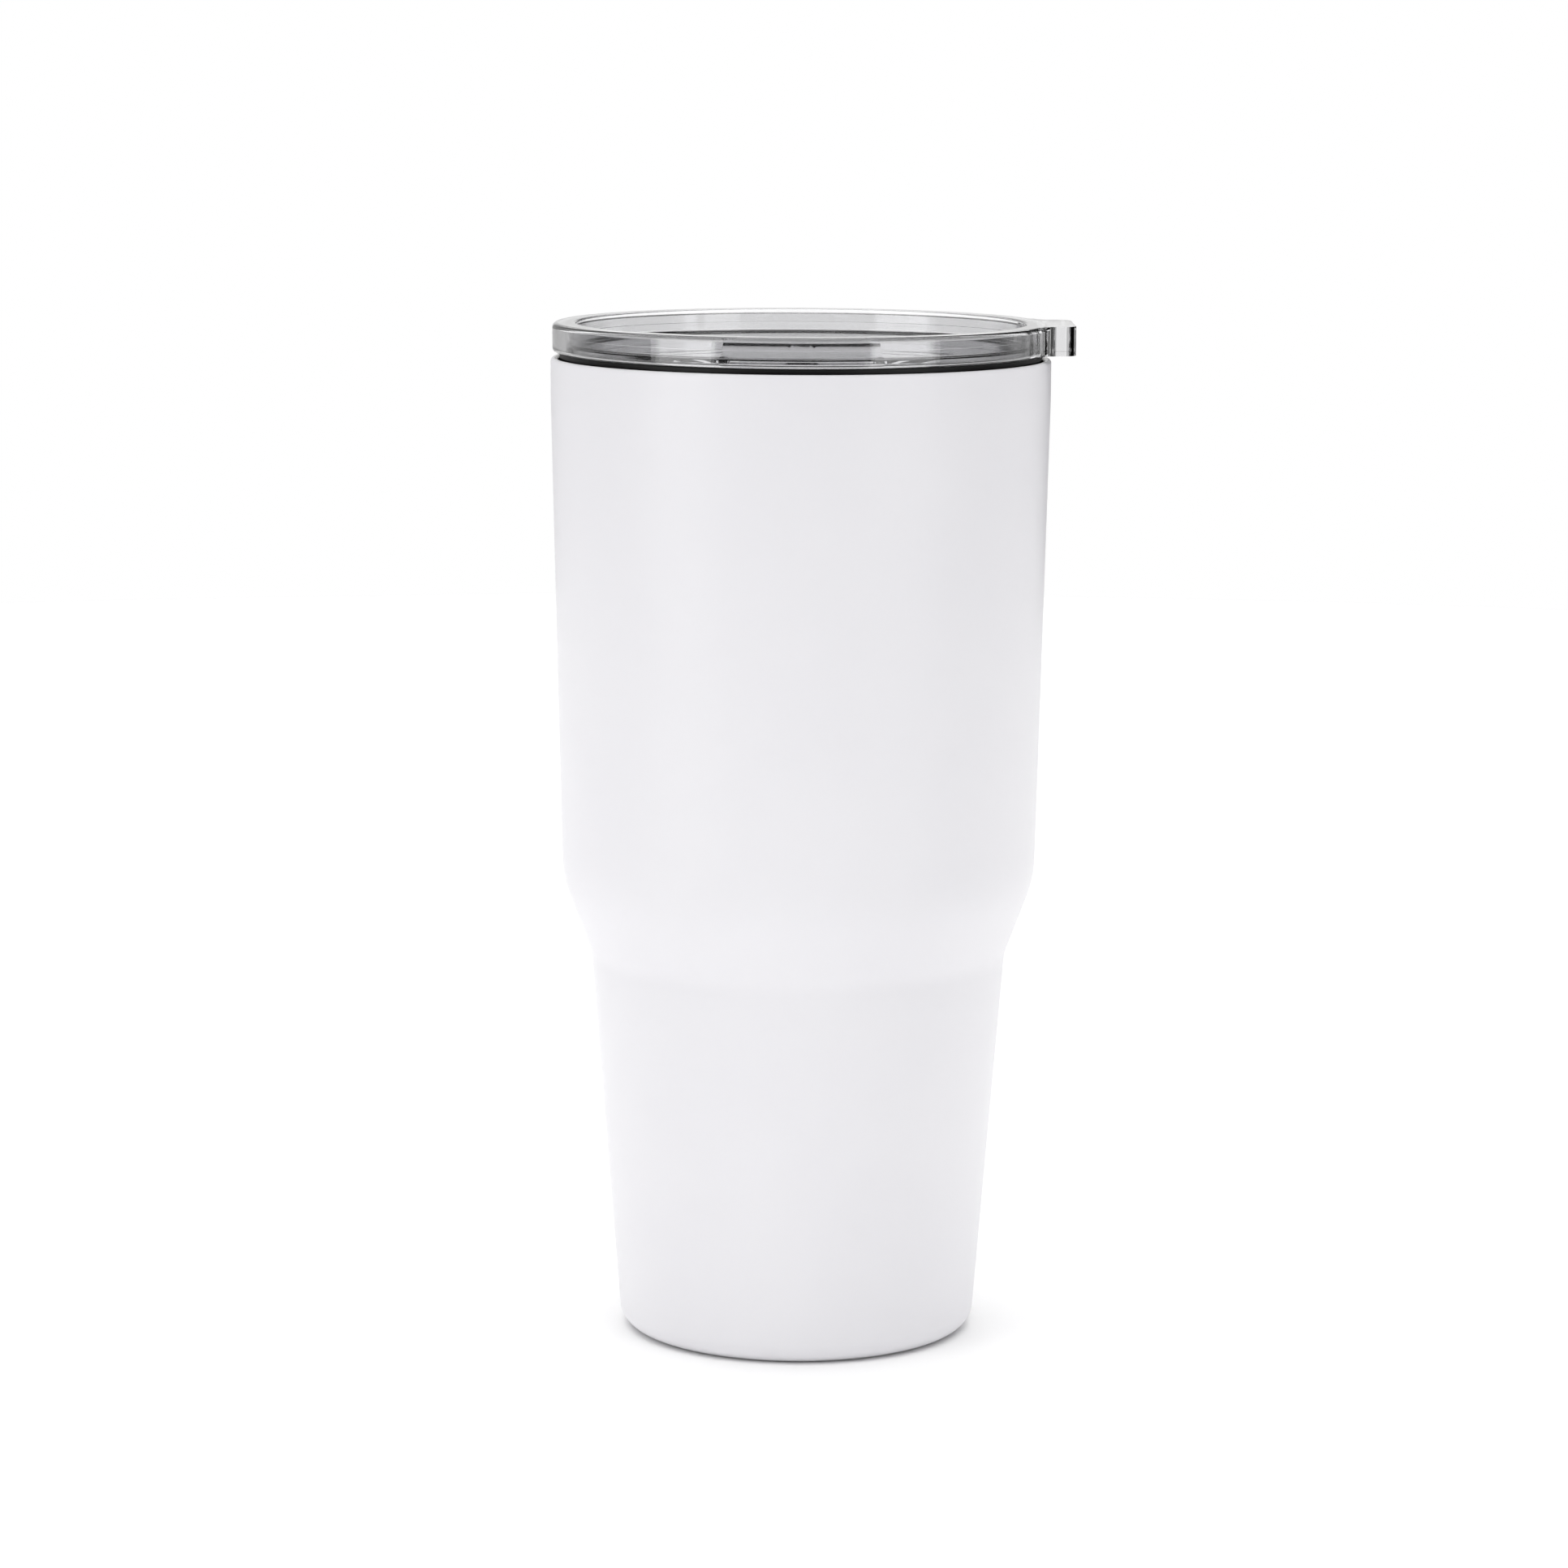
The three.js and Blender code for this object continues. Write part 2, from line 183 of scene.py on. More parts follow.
# rounds the edges that wanted(edge) picks, among those sharper than 40 degrees
def softenEdges(piece, width, wanted, segments=2):
    bm = bmesh.new()
    bm.from_mesh(piece.data)
    bmesh.ops.remove_doubles(bm, verts=bm.verts, dist=1e-4)
    bmesh.ops.dissolve_limit(bm, angle_limit=radians(0.2), verts=bm.verts, edges=bm.edges)
    picked = [e for e in bm.edges
              if len(e.link_faces) == 2 and e.calc_face_angle() > radians(40) and wanted(e)]
    bmesh.ops.bevel(bm, geom=picked, offset=width, offset_type="OFFSET", segments=segments,
                    profile=0.5, affect="EDGES", clamp_overlap=True)
    bm.to_mesh(piece.data)
    bm.free()


# scales to metres, shades smooth except at real corners, and dresses the piece
def finishPiece(piece, material, body, replaced=(), sharp=38):
    piece.data.transform(Matrix.Scale(mm, 4))
    bm = bmesh.new()
    bm.from_mesh(piece.data)
    for face in bm.faces:
        face.smooth = True
    for edge in bm.edges:
        edge.smooth = not (len(edge.link_faces) == 2 and edge.calc_face_angle() > radians(sharp))
    bm.to_mesh(piece.data)
    bm.free()
    weighted = piece.modifiers.new("weightedNormal", "WEIGHTED_NORMAL")
    weighted.keep_sharp = True
    piece.data.materials.clear()
    piece.data.materials.append(material)
    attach(piece, body)
    if replaced:
        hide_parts(*replaced)
    return piece


def linearColour(code):
    parts = [int(code[i:i + 2], 16) / 255 for i in (1, 3, 5)]
    return [p / 12.92 if p <= 0.04045 else ((p + 0.055) / 1.055) ** 2.4 for p in parts] + [1]


def addNode(tree, kind, settings=None, links=None):
    node = tree.nodes.new("ShaderNode" + kind)
    for name, value in (settings or {}).items():
        if isinstance(name, int) or name in node.inputs:
            node.inputs[name].default_value = value
        else:
            setattr(node, name, value)
    for name, source in (links or {}).items():
        tree.links.new(source, node.inputs[name])
    return node


def newMaterial(name, settings):
    material = bpy.data.materials.new(name)
    material.use_nodes = True
    tree = material.node_tree
    tree.nodes.clear()
    shader = addNode(tree, "BsdfPrincipled", settings)
    addNode(tree, "OutputMaterial", links={"Surface": shader.outputs["BSDF"]})
    return material, tree, shader


# levels of grey at positions from 0 to 1
def greyRamp(tree, stops, source):
    ramp = addNode(tree, "ValToRGB", links={"Fac": source})
    points = ramp.color_ramp.elements
    while len(points) < len(stops):
        points.new(0.5)
    for point, (place, level) in zip(points, stops):
        point.position = place
        point.color = (level, level, level, 1)
    return ramp.outputs["Color"]


# object coordinates with their own scale along each axis, in patterns per metre
def placedCoordinates(tree, scale):
    place = addNode(tree, "TexCoord")
    return addNode(tree, "Mapping", {"Scale": scale}, {"Vector": place.outputs["Object"]}).outputs["Vector"]


def perMetre(size):
    return 1 / (size * mm)


# polyester powder coat, sprayed and baked on steel: even white with a soft sheen and a trace of orange peel
powderCoat = {"colour": "#F0EFF2", "shade": "#ECEBEF", "roughness": (0.3, 0.36), "cloud": 30,
              "peel": 1.6, "relief": 0.006}


def makePowderCoat():
    material, tree, shader = newMaterial("whitePolyesterPowderCoat", {"IOR": 1.5})
    spread = placedCoordinates(tree, (1, 1, 1))
    cloud = addNode(tree, "TexNoise", {"Scale": perMetre(powderCoat["cloud"]), "Detail": 2},
                    {"Vector": spread})
    colour = addNode(tree, "MixRGB", {"Color1": linearColour(powderCoat["colour"]),
                                      "Color2": linearColour(powderCoat["shade"])},
                     {"Fac": cloud.outputs["Fac"]})
    low, high = powderCoat["roughness"]
    rough = addNode(tree, "MapRange", {"To Min": low, "To Max": high}, {"Value": cloud.outputs["Fac"]})
    peel = addNode(tree, "TexNoise", {"Scale": perMetre(powderCoat["peel"]), "Detail": 1}, {"Vector": spread})
    bump = addNode(tree, "Bump", {"Strength": 0.25, "Distance": powderCoat["relief"] * mm},
                   {"Height": peel.outputs["Fac"]})
    tree.links.new(colour.outputs["Color"], shader.inputs["Base Color"])
    tree.links.new(rough.outputs["Result"], shader.inputs["Roughness"])
    tree.links.new(bump.outputs["Normal"], shader.inputs["Normal"])
    return material


# 18/8 stainless steel, drawn and polished round its axis: fine rings that smear the light sideways
drawnSteel = {"colour": "#C9C8C6", "dull": "#BDBCBA", "roughness": (0.2, 0.3), "ring": 60,
              "line": 0.35, "relief": 0.002}


def makeDrawnSteel():
    material, tree, shader = newMaterial("polishedStainlessSteel", {"Metallic": 1.0})
    line = perMetre(drawnSteel["line"])  # wider than real polishing lines, so that they show
    across = perMetre(drawnSteel["ring"])
    rings = addNode(tree, "TexNoise", {"Scale": 1, "Detail": 3},
                    {"Vector": placedCoordinates(tree, (across, across, line))})
    colour = addNode(tree, "MixRGB", {"Color1": linearColour(drawnSteel["colour"]),
                                      "Color2": linearColour(drawnSteel["dull"])},
                     {"Fac": rings.outputs["Fac"]})
    low, high = drawnSteel["roughness"]
    rough = addNode(tree, "MapRange", {"To Min": low, "To Max": high}, {"Value": rings.outputs["Fac"]})
    bump = addNode(tree, "Bump", {"Strength": 0.3, "Distance": drawnSteel["relief"] * mm},
                   {"Height": rings.outputs["Fac"]})
    tree.links.new(colour.outputs["Color"], shader.inputs["Base Color"])
    tree.links.new(rough.outputs["Result"], shader.inputs["Roughness"])
    tree.links.new(bump.outputs["Normal"], shader.inputs["Normal"])
    return material


# stainless plate, spun on a lathe: rings about the centre
spunSteel = {"colour": "#C6C6C5", "roughness": (0.25, 0.38), "line": 0.5, "relief": 0.003}


def makeSpunSteel():
    material, tree, shader = newMaterial("spunStainlessSteel", {
        "Metallic": 1.0, "Base Color": linearColour(spunSteel["colour"])})
    place = addNode(tree, "TexCoord")
    flat = addNode(tree, "VectorMath", {"operation": "MULTIPLY", 1: (1, 1, 0)},
                   {0: place.outputs["Object"]})
    radius = addNode(tree, "VectorMath", {"operation": "LENGTH"}, {0: flat.outputs["Vector"]})
    rings = addNode(tree, "TexNoise",
                    {"noise_dimensions": "1D", "Scale": perMetre(spunSteel["line"]), "Detail": 2},
                    {"W": radius.outputs["Value"]})
    low, high = spunSteel["roughness"]
    rough = addNode(tree, "MapRange", {"To Min": low, "To Max": high}, {"Value": rings.outputs["Fac"]})
    bump = addNode(tree, "Bump", {"Strength": 0.4, "Distance": spunSteel["relief"] * mm},
                   {"Height": rings.outputs["Fac"]})
    tree.links.new(rough.outputs["Result"], shader.inputs["Roughness"])
    tree.links.new(bump.outputs["Normal"], shader.inputs["Normal"])
    return material


# styrene acrylonitrile, injection moulded and clear: sharp gloss, and a slow ripple from the mould
clearStyrene = {"colour": "#F5F5F6", "roughness": 0.02, "ior": 1.57, "ripple": 9.0, "relief": 0.02}


def makeClearStyrene():
    material, tree, shader = newMaterial("clearMouldedStyrene", {
        "Base Color": linearColour(clearStyrene["colour"]), "Roughness": clearStyrene["roughness"],
        "IOR": clearStyrene["ior"], "Transmission Weight": 1.0})
    ripple = addNode(tree, "TexNoise", {"Scale": perMetre(clearStyrene["ripple"]), "Detail": 1},
                     {"Vector": placedCoordinates(tree, (1, 1, 1))})
    bump = addNode(tree, "Bump", {"Strength": 0.3, "Distance": clearStyrene["relief"] * mm},
                   {"Height": ripple.outputs["Fac"]})
    tree.links.new(bump.outputs["Normal"], shader.inputs["Normal"])
    return material


# black silicone rubber, compression moulded: deep black, dull, with a faint bloom
blackSilicone = {"colour": "#060607", "bloom": "#0C0C0E", "roughness": (0.42, 0.56), "grain": 2.0}


def makeBlackSilicone():
    material, tree, shader = newMaterial("blackMouldedSilicone", {"IOR": 1.43})
    grain = addNode(tree, "TexNoise", {"Scale": perMetre(blackSilicone["grain"]), "Detail": 3},
                    {"Vector": placedCoordinates(tree, (1, 1, 1))})
    colour = addNode(tree, "MixRGB", {"Color1": linearColour(blackSilicone["colour"]),
                                      "Color2": linearColour(blackSilicone["bloom"])},
                     {"Fac": grain.outputs["Fac"]})
    low, high = blackSilicone["roughness"]
    rough = addNode(tree, "MapRange", {"To Min": low, "To Max": high}, {"Value": grain.outputs["Fac"]})
    tree.links.new(colour.outputs["Color"], shader.inputs["Base Color"])
    tree.links.new(rough.outputs["Result"], shader.inputs["Roughness"])
    return material


# natural silicone rubber, moulded thin: milky, lets light through without showing what is behind
paleSilicone = {"colour": "#E4E6E8", "roughness": (0.45, 0.6), "grain": 3.0}


def makePaleSilicone():
    material, tree, shader = newMaterial("naturalMouldedSilicone", {
        "Base Color": linearColour(paleSilicone["colour"]), "IOR": 1.41, "Transmission Weight": 0.6})
    grain = addNode(tree, "TexNoise", {"Scale": perMetre(paleSilicone["grain"]), "Detail": 2},
                    {"Vector": placedCoordinates(tree, (1, 1, 1))})
    low, high = paleSilicone["roughness"]
    rough = addNode(tree, "MapRange", {"To Min": low, "To Max": high}, {"Value": grain.outputs["Fac"]})
    tree.links.new(rough.outputs["Result"], shader.inputs["Roughness"])
    return material


# rolled copper foil, wrapped by hand: bright metal with shallow creases
copperFoil = {"colour": "#D98F6A", "roughness": (0.22, 0.4), "crease": 12.0, "relief": 0.2}
# tin solder, melted over the pump-out hole: grey, lumpy and dull
solderBead = {"colour": "#A9AAAC", "roughness": (0.35, 0.55), "crease": 1.5, "relief": 0.1}
# zirconium powder, pressed into a pill: near black and grainy
getterPowder = {"colour": "#3A3A3C", "roughness": (0.7, 0.9), "crease": 0.4, "relief": 0.05}


# the hidden metals share one recipe: a base colour, patchy roughness and a lumpy surface
def makeHiddenMetal(name, look, metallic):
    material, tree, shader = newMaterial(name, {
        "Base Color": linearColour(look["colour"]), "Metallic": metallic})
    lumps = addNode(tree, "TexNoise", {"Scale": perMetre(look["crease"]), "Detail": 4},
                    {"Vector": placedCoordinates(tree, (1, 1, 1))})
    low, high = look["roughness"]
    rough = addNode(tree, "MapRange", {"To Min": low, "To Max": high}, {"Value": lumps.outputs["Fac"]})
    bump = addNode(tree, "Bump", {"Strength": 0.5, "Distance": look["relief"] * mm},
                   {"Height": lumps.outputs["Fac"]})
    tree.links.new(rough.outputs["Result"], shader.inputs["Roughness"])
    tree.links.new(bump.outputs["Normal"], shader.inputs["Normal"])
    return material


coat = makePowderCoat()
steel = makeDrawnSteel()
spun = makeSpunSteel()
clear = makeClearStyrene()
rubber = makeBlackSilicone()
milky = makePaleSilicone()
print("materials made")


shell = {
    "sheet": 0.5,
    "footRadius": 36.3, "footRounding": 4.5, "ringInner": 29.6, "ringReturn": 3.2,
    "crease": (42.46, 78.5, 10), "shoulder": (48.36, 94.4, 21),
    "lipWidth": 1.5, "lipStraight": 8,
}
rimRadius, lipHeight = shellHigh[1], shellHigh[2]
crownRadius = rimRadius - shell["lipWidth"] / 2


def outerShell():
    half = shell["lipWidth"] / 2
    face = [
        (shell["ringInner"], shell["ringReturn"]),
        (shell["ringInner"], 0, 0.8),
        (shell["footRadius"], 0, shell["footRounding"]),
        shell["crease"],
        shell["shoulder"],
        (rimRadius, lipHeight - shell["lipStraight"], 60),
        (rimRadius, lipHeight - 1.4),
    ]
    lip = [(rimRadius, lipHeight, half), (crownRadius, lipHeight), (crownRadius, lipHeight - 1.4)]
    outside = roundedOutline(face[:-1] + lip, closed=False)
    collar = [Vector((rimRadius - shell["sheet"], lipHeight - 1.8))]
    inside = roundedOutline(offsetCorners(face, shell["sheet"]), closed=False)[:-1]
    return turnedPiece("outerShell", outside + collar + inside[::-1])


# the liner's drawn wall, from the lip down to the weld with its bottom
liner = {
    "sheet": 0.5, "wall": 6, "seatRadius": 49.05,
    "seatBottom": 186, "neckBottom": 170, "weld": 20, "floor": 13, "floorRounding": 7,
}


def linerCorners():
    wall = liner["wall"]
    creaseR, creaseZ, creaseBend = shell["crease"]
    shoulderR, shoulderZ, shoulderBend = shell["shoulder"]
    slope = (rimRadius - shoulderR) / (lipHeight - shell["lipStraight"] - shoulderZ)
    neckRadius = shoulderR + slope * (liner["neckBottom"] - shoulderZ) - wall
    weldRadius = shell["footRadius"] + (creaseR - shell["footRadius"]) * liner["weld"] / creaseZ - wall
    return [
        (liner["seatRadius"], lipHeight - 1.6),
        (liner["seatRadius"] - 0.1, liner["seatBottom"], 12),
        (neckRadius, liner["neckBottom"], 12),
        (shoulderR - wall, shoulderZ + 1, shoulderBend),
        (creaseR - wall, creaseZ + 1, creaseBend),
        (weldRadius, liner["weld"]),
    ]


def innerLiner():
    corners = linerCorners()
    lip = [
        (crownRadius, lipHeight - 1.4),
        (crownRadius, lipHeight),
        (liner["seatRadius"], lipHeight, shell["lipWidth"] / 2),
    ]
    inside = roundedOutline(lip + corners, closed=False)
    outside = roundedOutline(offsetCorners(corners, liner["sheet"]), closed=False)
    return turnedPiece("innerLiner", inside + outside[::-1])


def linerBottom():
    radius = linerCorners()[-1][0]
    face = [
        (radius, liner["weld"]),
        (radius - 0.55, liner["floor"], liner["floorRounding"]),
        (12, liner["floor"] + 0.5, 60),
        (0, liner["floor"] + 0.6),
    ]
    return turnedPiece("linerBottom", sheetOutline(face, liner["sheet"])[::-1])


cover = {"sheet": 0.5, "step": (20, 22), "flat": 27.4, "raised": 0.4}


def baseCover():
    low = coverLow[2]
    inner, outer = cover["step"]
    face = [
        (0, low + cover["raised"]),
        (inner, low + cover["raised"], 2),
        (outer, low, 2),
        (cover["flat"], low, 1.2),
        (coverHigh[1], low + 1.4),
    ]
    return turnedPiece("baseCover", sheetOutline(face, cover["sheet"]))


finishPiece(outerShell(), coat, "tumbler", ["outer_shell"])
finishPiece(innerLiner(), steel, "tumbler", ["inner_liner"])
finishPiece(linerBottom(), steel, "tumbler", ["liner_bottom"])
finishPiece(baseCover(), spun, "tumbler", ["base_cover"])
hidden = {
    "outer_bottom": spun,
    "getter_clip": spun,
    "copper_foil": makeHiddenMetal("rolledCopperFoil", copperFoil, 1.0),
    "vacuum_seal": makeHiddenMetal("meltedTinSolder", solderBead, 1.0),
    "getter": makeHiddenMetal("pressedZirconiumPowder", getterPowder, 0.3),
}
for node, material in hidden.items():
    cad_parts[node].data.materials.clear()
    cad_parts[node].data.materials.append(material)
print("cup made")


seal = {"back": 45.9, "body": 48.1, "finHeights": (194.6, 197.4), "fin": 0.65, "collar": (48.8, 199.6)}


def gasket():
    low, high = gasketLow[2], gasketHigh[2]
    collarRadius, collarLow = seal["collar"]
    fins = []
    for z in seal["finHeights"]:
        fins += [(seal["body"], z - 0.8, 0.3), (seal["body"] + seal["fin"], z + 0.1, 0.25),
                 (seal["body"], z + 0.9, 0.3)]
    outline = [
        (seal["back"], low),
        (seal["body"], low, 0.4),
        *fins,
        (seal["body"], collarLow, 0.3),
        (collarRadius, collarLow + 0.7, 0.3),
        (collarRadius, high, 0.25),
        (seal["back"], high),
    ]
    return turnedPiece("gasketRing", roundedOutline(outline))


finishPiece(gasket(), rubber, "gasket", ["gasket"])
print("gasket made")


lid = {
    "underside": 201.4, "skirt": 2.8, "recess": 45.5, "floor": 202.6, "floorSheet": 1.8,
    "channel": (46.8, 206.6), "ledges": [(46.4, 203.0), (46.6, 204.7)],
    "plug": (43.9, 46.7), "groove": (45.6, 193.0),
    "tabHalf": 12.0, "tabCorner": 3.0, "tabRoot": 3.4,   # corner and root are roundings
    "bayHalf": 15.5, "bayDepth": 2.2, "bayBack": 6.0, "bayReach": 44.3,
    "lip": (1.6, 0.9), "lipEnds": (-37.8, 3.0),
    "sip": (20.0, 7.0, -37.2), "vent": (1.5, 26.0),
}
lidRadius, lidTop, plugBottom = lidHigh[1], lidHigh[2], lidLow[2]


def lidMoulding():
    recess, floor, under = lid["recess"], lid["floor"], lid["underside"]
    channelRadius, channelTop = lid["channel"]
    plugInner, plugOuter = lid["plug"]
    grooveRadius, grooveBottom = lid["groove"]
    skirtInner = lidRadius - lid["skirt"]
    # the core leaves a small ledge each time it narrows
    ledges = []
    for step, (radius, height) in enumerate(lid["ledges"]):
        above = (lid["ledges"] + [lid["channel"]])[step + 1][0]
        ledges += [(radius, height, 0.06), (above, height, 0.06)]
    outline = [
        (0, floor - lid["floorSheet"]),
        (plugInner, floor - lid["floorSheet"], 1.0),
        (plugInner, plugBottom, 0.4),
        (plugOuter - 0.2, plugBottom, 0.6),
        (plugOuter, grooveBottom, 0.2),
        (grooveRadius, grooveBottom, 0.15),
        (grooveRadius, under, 0.15),
        (lid["ledges"][0][0], under, 0.15),
        *ledges,
        (channelRadius, channelTop, 0.38),
        (skirtInner, channelTop, 0.38),
        (skirtInner, under, 0.3),
        (lidRadius, under, 1.0),
        (lidRadius, lidTop, 1.1),
        (recess, lidTop, 0.5),
        (recess, floor, 0.9),
        (0, floor),
    ]
    return turnedPiece("lidBody", roundedOutline(outline, closed=False))


def lidTab():
    inside = lidRadius - lid["skirt"] + 0.3
    reach, half, corner = lidHigh[0], lid["tabHalf"], lid["tabCorner"]
    rootHalf = half + lid["tabRoot"]

    def onSkirt(y):
        return (lidRadius ** 2 - y ** 2) ** 0.5, y

    outline = roundedOutline([
        (inside - lid["tabRoot"], -rootHalf), onSkirt(-rootHalf), (*onSkirt(-half), lid["tabRoot"]),
        (reach, -half, corner), (reach, half, corner),
        (*onSkirt(half), lid["tabRoot"]), onSkirt(rootHalf), (inside - lid["tabRoot"], rootHalf),
    ])
    tab = uprightPiece("tab", outline, lid["underside"] + 0.1, lidTop)
    softenEdges(tab, 0.8, lambda e: abs(e.verts[0].co.z - e.verts[1].co.z) < 0.01
                and min(v.co.x for v in e.verts) > inside + 0.2, segments=5)
    return combine(tab, "DIFFERENCE", discPiece(inside, plugBottom, lidTop + 1))


def lidBody():
    piece = lidMoulding()
    half, back, reach = lid["bayHalf"], lid["bayBack"], lid["bayReach"]
    floor, bayFloor = lid["floor"], lid["floor"] - lid["bayDepth"]

    def bay(grow, low, high):
        walls = blockPiece(-half - grow, half + grow, -lidRadius, back + grow, low, high)
        return combine(walls, "INTERSECT", discPiece(reach + grow / 2, low - 1, high + 1))

    combine(piece, "UNION", lidTab(), bay(1.6, bayFloor - lid["floorSheet"], floor - 0.5))
    combine(piece, "DIFFERENCE", bay(0, bayFloor, lidTop + 1))
    lipReach, lipSheet = lid["lip"]
    front, rear = lid["lipEnds"]
    for side in (-1, 1):
        edge, root = sorted(((half - lipReach) * side, (half + 0.3) * side))
        combine(piece, "UNION", blockPiece(edge, root, front, rear, floor - lipSheet, floor))
    sipWidth, sipDepth, sipY = lid["sip"]
    sip = blockPiece(-sipWidth / 2, sipWidth / 2, sipY - sipDepth / 2, sipY + sipDepth / 2,
                     bayFloor - 4, lidTop, sipDepth / 2 - 0.05)
    ventRadius, ventY = lid["vent"]
    vent = discPiece(ventRadius, plugBottom, lidTop, 48)
    vent.data.transform(Matrix.Translation((0, ventY, 0)))
    combine(piece, "DIFFERENCE", sip, vent)
    return piece


finishPiece(lidBody(), clear, "lid", ["lid_body"])
print("lid made")


closure = {"half": 15.0, "reach": 44.0, "plateTop": 202.3, "tongueTop": 201.4, "gripFoot": 203.0,
           "gripBack": -42.2, "gripCrest": 2.4, "inner": 13.4, "edge": 0.25}


def sliderPiece():
    front, back = sliderLow[1], sliderHigh[1]
    low, top = sliderLow[2], sliderHigh[2]
    half, inner, reach = closure["half"], closure["inner"], closure["reach"]
    tongue, plate, foot, rear = (closure[k] for k in ("tongueTop", "plateTop", "gripFoot", "gripBack"))
    piece = blockPiece(-half, half, -reach, back, low, tongue, name="slider")
    combine(piece, "UNION",
            blockPiece(-inner, inner, -reach, back, tongue - 0.2, plate),
            blockPiece(-inner, inner, -reach, rear - 0.2, plate - 0.2, foot + 0.2))
    combine(piece, "INTERSECT", discPiece(reach, low - 1, top + 1))
    grip = crosswisePiece("grip", roundedOutline([
        (front, foot, 0.25), (rear, foot), (front + closure["gripCrest"], top, 0.2), (front, top, 0.2),
    ]), sliderHigh[0])
    combine(piece, "UNION", combine(grip, "INTERSECT", discPiece(-front, foot - 1, top + 1)))
    pocket = blockPiece(sealLow[0] - 0.1, sealHigh[0] + 0.1, -reach, sealHigh[1] + 0.1,
                        low - 1, sealHigh[2] + 0.1)
    combine(pocket, "INTERSECT", discPiece(0.1 - sealLow[1], low - 2, sealHigh[2] + 1))
    combine(piece, "DIFFERENCE", pocket)
    softenEdges(piece, closure["edge"], lambda e: e.calc_length() > 0.6)
    return piece


def sealPad():
    piece = blockPiece(sealLow[0], sealHigh[0], sealLow[1], sealHigh[1], sealLow[2], sealHigh[2],
                       name="sliderPad")
    combine(piece, "INTERSECT", discPiece(-sealLow[1], sealLow[2] - 1, sealHigh[2] + 1))
    softenEdges(piece, 0.12, lambda e: True)
    return piece


finishPiece(sliderPiece(), clear, "slider", ["slider"])
finishPiece(sealPad(), milky, "slider", ["slider_seal"])
print("slider made")


studio = {
    "lens": 113.2, "cameraPlace": (-3.04, -998.9, 268.8), "pitch": 8.87, "roll": 0.26,
    "floorRadius": 1300, "floorColour": "#FBFBFB",
    # brightness of the walls by the angle from straight behind, less than 0 to the left
    "walls": [(-75, 0.02), (-60, 0.4), (-34, 0.5), (-12, 0.45), (-10, 0.9), (10, 0.9), (12, 0.02),
              (32, 0.02), (38, 0.4), (60, 0.4), (75, 0.02)],
    "ceiling": [(55, 0.0), (65, 0.5)],   # brightness by the angle up
    "sun": 2.85, "sunAngle": 80,
    "boxTarget": (0, 0, 150),   # both softboxes face this; below, their place, size and power
    "leftBox": ((-995, -671, 400), (690, 1200), 5),
    "rightBox": ((906, -787, 400), (720, 1200), 3.9),
}


def placeCamera():
    camera = bpy.data.objects.new("camera", bpy.data.cameras.new("camera"))
    bpy.context.scene.collection.objects.link(camera)
    camera.data.sensor_width = 36
    camera.data.lens = studio["lens"]
    camera.data.clip_end = 50
    camera.location = Vector(studio["cameraPlace"]) * mm
    tilt = Matrix.Rotation(radians(90 - studio["pitch"]), 3, "X")
    camera.rotation_euler = (tilt @ Matrix.Rotation(radians(studio["roll"]), 3, "Z")).to_euler()
    bpy.context.scene.camera = camera


def layFloor():
    radius = studio["floorRadius"]
    floor = turnedPiece("floor", [(0, -1), (radius, -1), (radius, 0), (0, 0)], 64)
    floor.data.transform(Matrix.Scale(mm, 4))
    material = newMaterial("matteWhitePaper", {
        "Base Color": linearColour(studio["floorColour"]), "Roughness": 0.9, "Specular IOR Level": 0.1})[0]
    floor.data.materials.append(material)


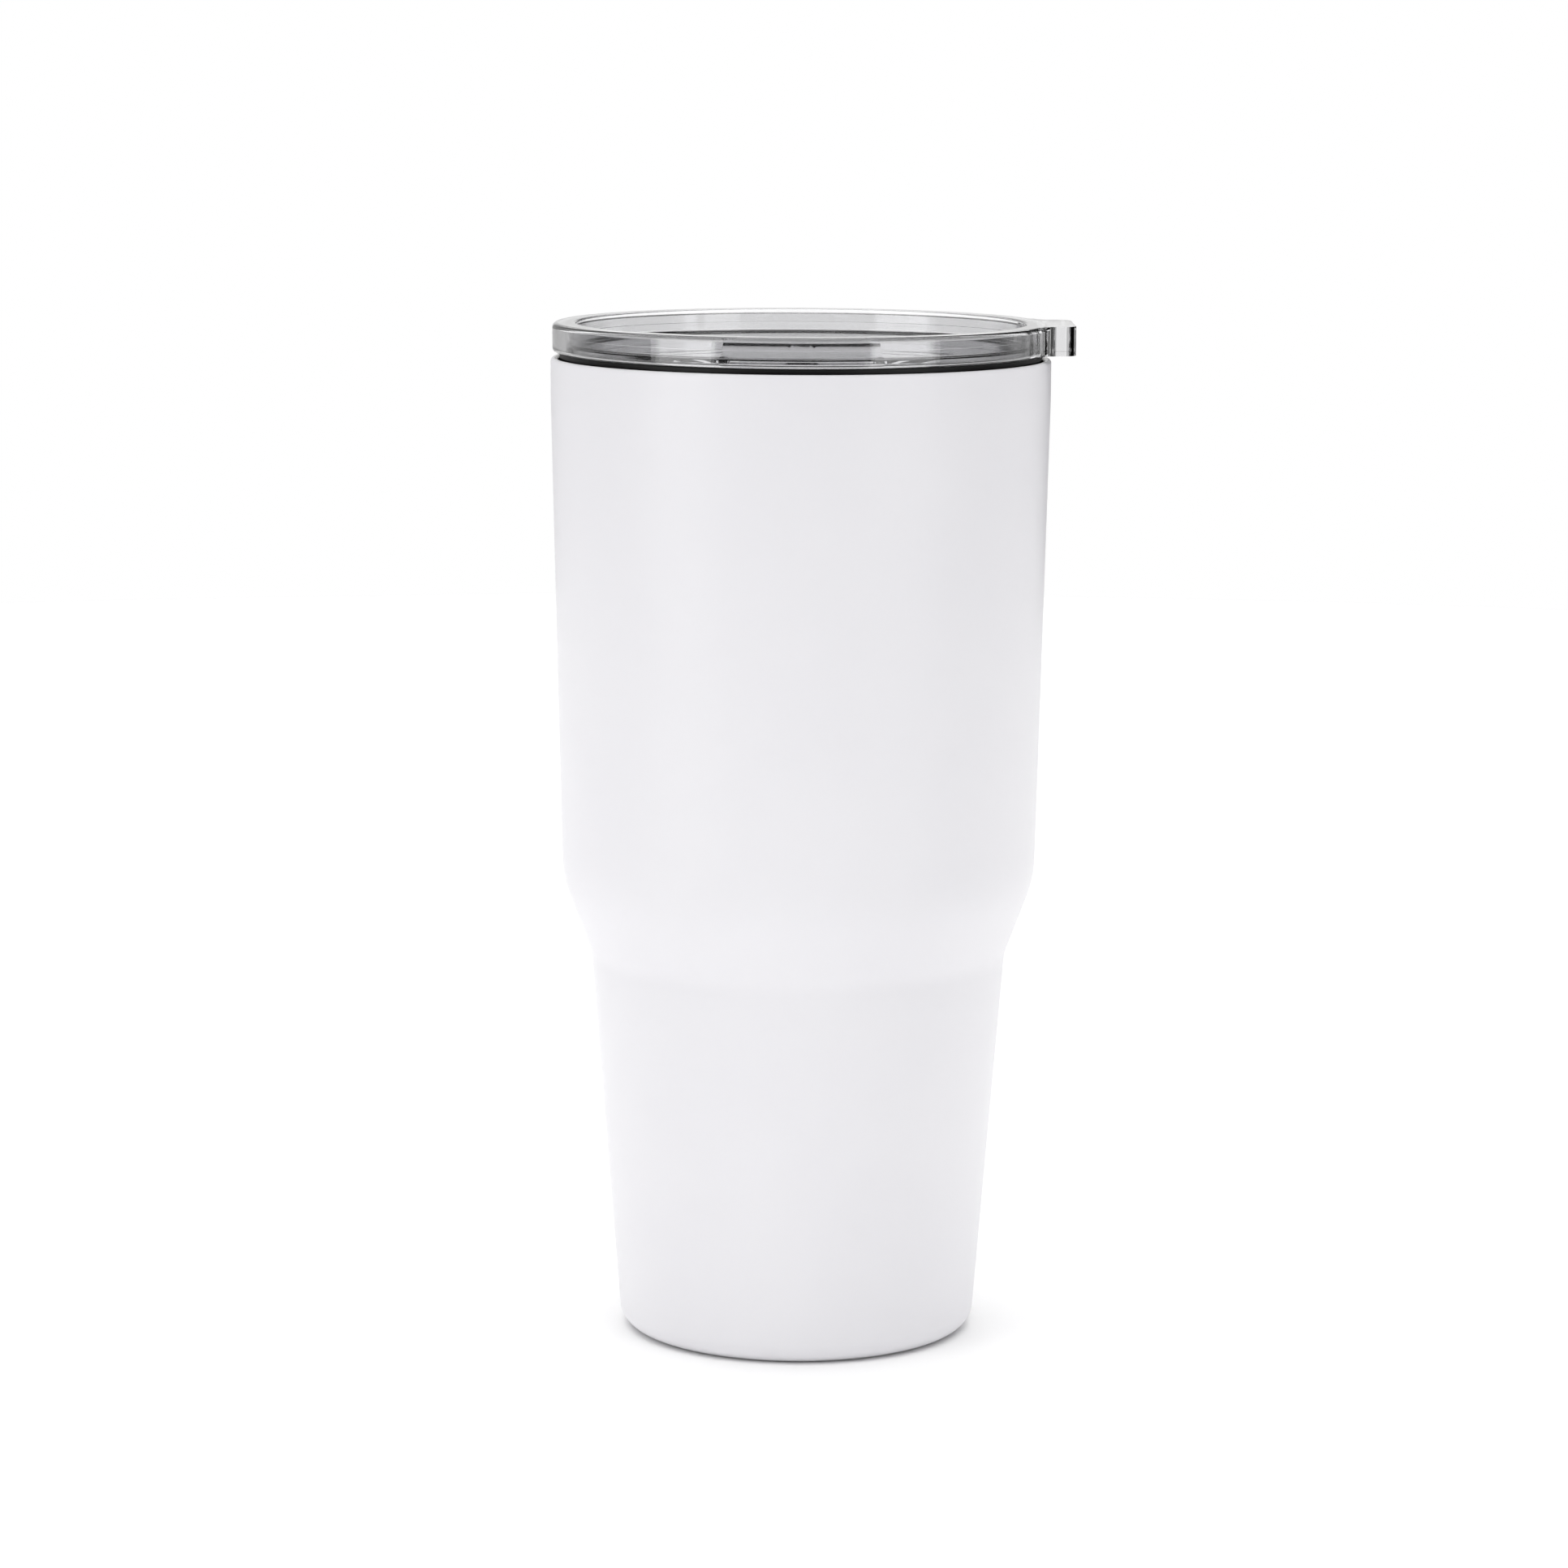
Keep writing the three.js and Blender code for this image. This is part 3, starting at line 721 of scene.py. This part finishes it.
def softBox(name):
    place, size, power = studio[name]
    lamp = bpy.data.lights.new(name, "AREA")
    lamp.shape = "RECTANGLE"
    lamp.size, lamp.size_y = size[0] * mm, size[1] * mm
    lamp.energy = power
    light = bpy.data.objects.new(name, lamp)
    bpy.context.scene.collection.objects.link(light)
    light.location = Vector(place) * mm
    light.rotation_euler = (Vector(studio["boxTarget"]) - Vector(place)).to_track_quat("-Z", "Y").to_euler()


def lightStudio():
    scene = bpy.context.scene
    scene.view_settings.view_transform = "Standard"
    world = bpy.data.worlds.new("studioWorld")
    scene.world = world
    world.use_nodes = True
    tree = world.node_tree
    tree.nodes.clear()
    seen = addNode(tree, "Background", {"Color": (1, 1, 1, 1), "Strength": 1.0})
    ray = addNode(tree, "TexCoord")
    way = addNode(tree, "SeparateXYZ", links={"Vector": ray.outputs["Generated"]})
    aside = addNode(tree, "Math", {"operation": "ARCTAN2"}, {0: way.outputs["X"], 1: way.outputs["Y"]})
    aside = addNode(tree, "MapRange", {"From Min": -pi, "From Max": pi}, {"Value": aside.outputs[0]})
    turn = greyRamp(tree, [(angle / 360 + 0.5, level) for angle, level in studio["walls"]],
                    aside.outputs["Result"])
    lift = greyRamp(tree, [(sin(radians(angle)), level) for angle, level in studio["ceiling"]],
                    way.outputs["Z"])
    fade = addNode(tree, "Math", {"operation": "MAXIMUM"}, {0: turn, 1: lift})
    light = addNode(tree, "Background", {"Color": (1, 1, 1, 1)}, {"Strength": fade.outputs[0]})
    rays = addNode(tree, "LightPath")
    mix = addNode(tree, "MixShader", links={
        0: rays.outputs["Is Camera Ray"], 1: light.outputs[0], 2: seen.outputs[0]})
    addNode(tree, "OutputWorld", links={"Surface": mix.outputs[0]})
    sun = bpy.data.objects.new("overhead", bpy.data.lights.new("overhead", "SUN"))
    sun.data.energy = studio["sun"]
    sun.data.angle = radians(studio["sunAngle"])
    scene.collection.objects.link(sun)
    sun.visible_glossy = sun.visible_transmission = False
    softBox("leftBox")
    softBox("rightBox")


placeCamera()
layFloor()
lightStudio()
print("studio lit")
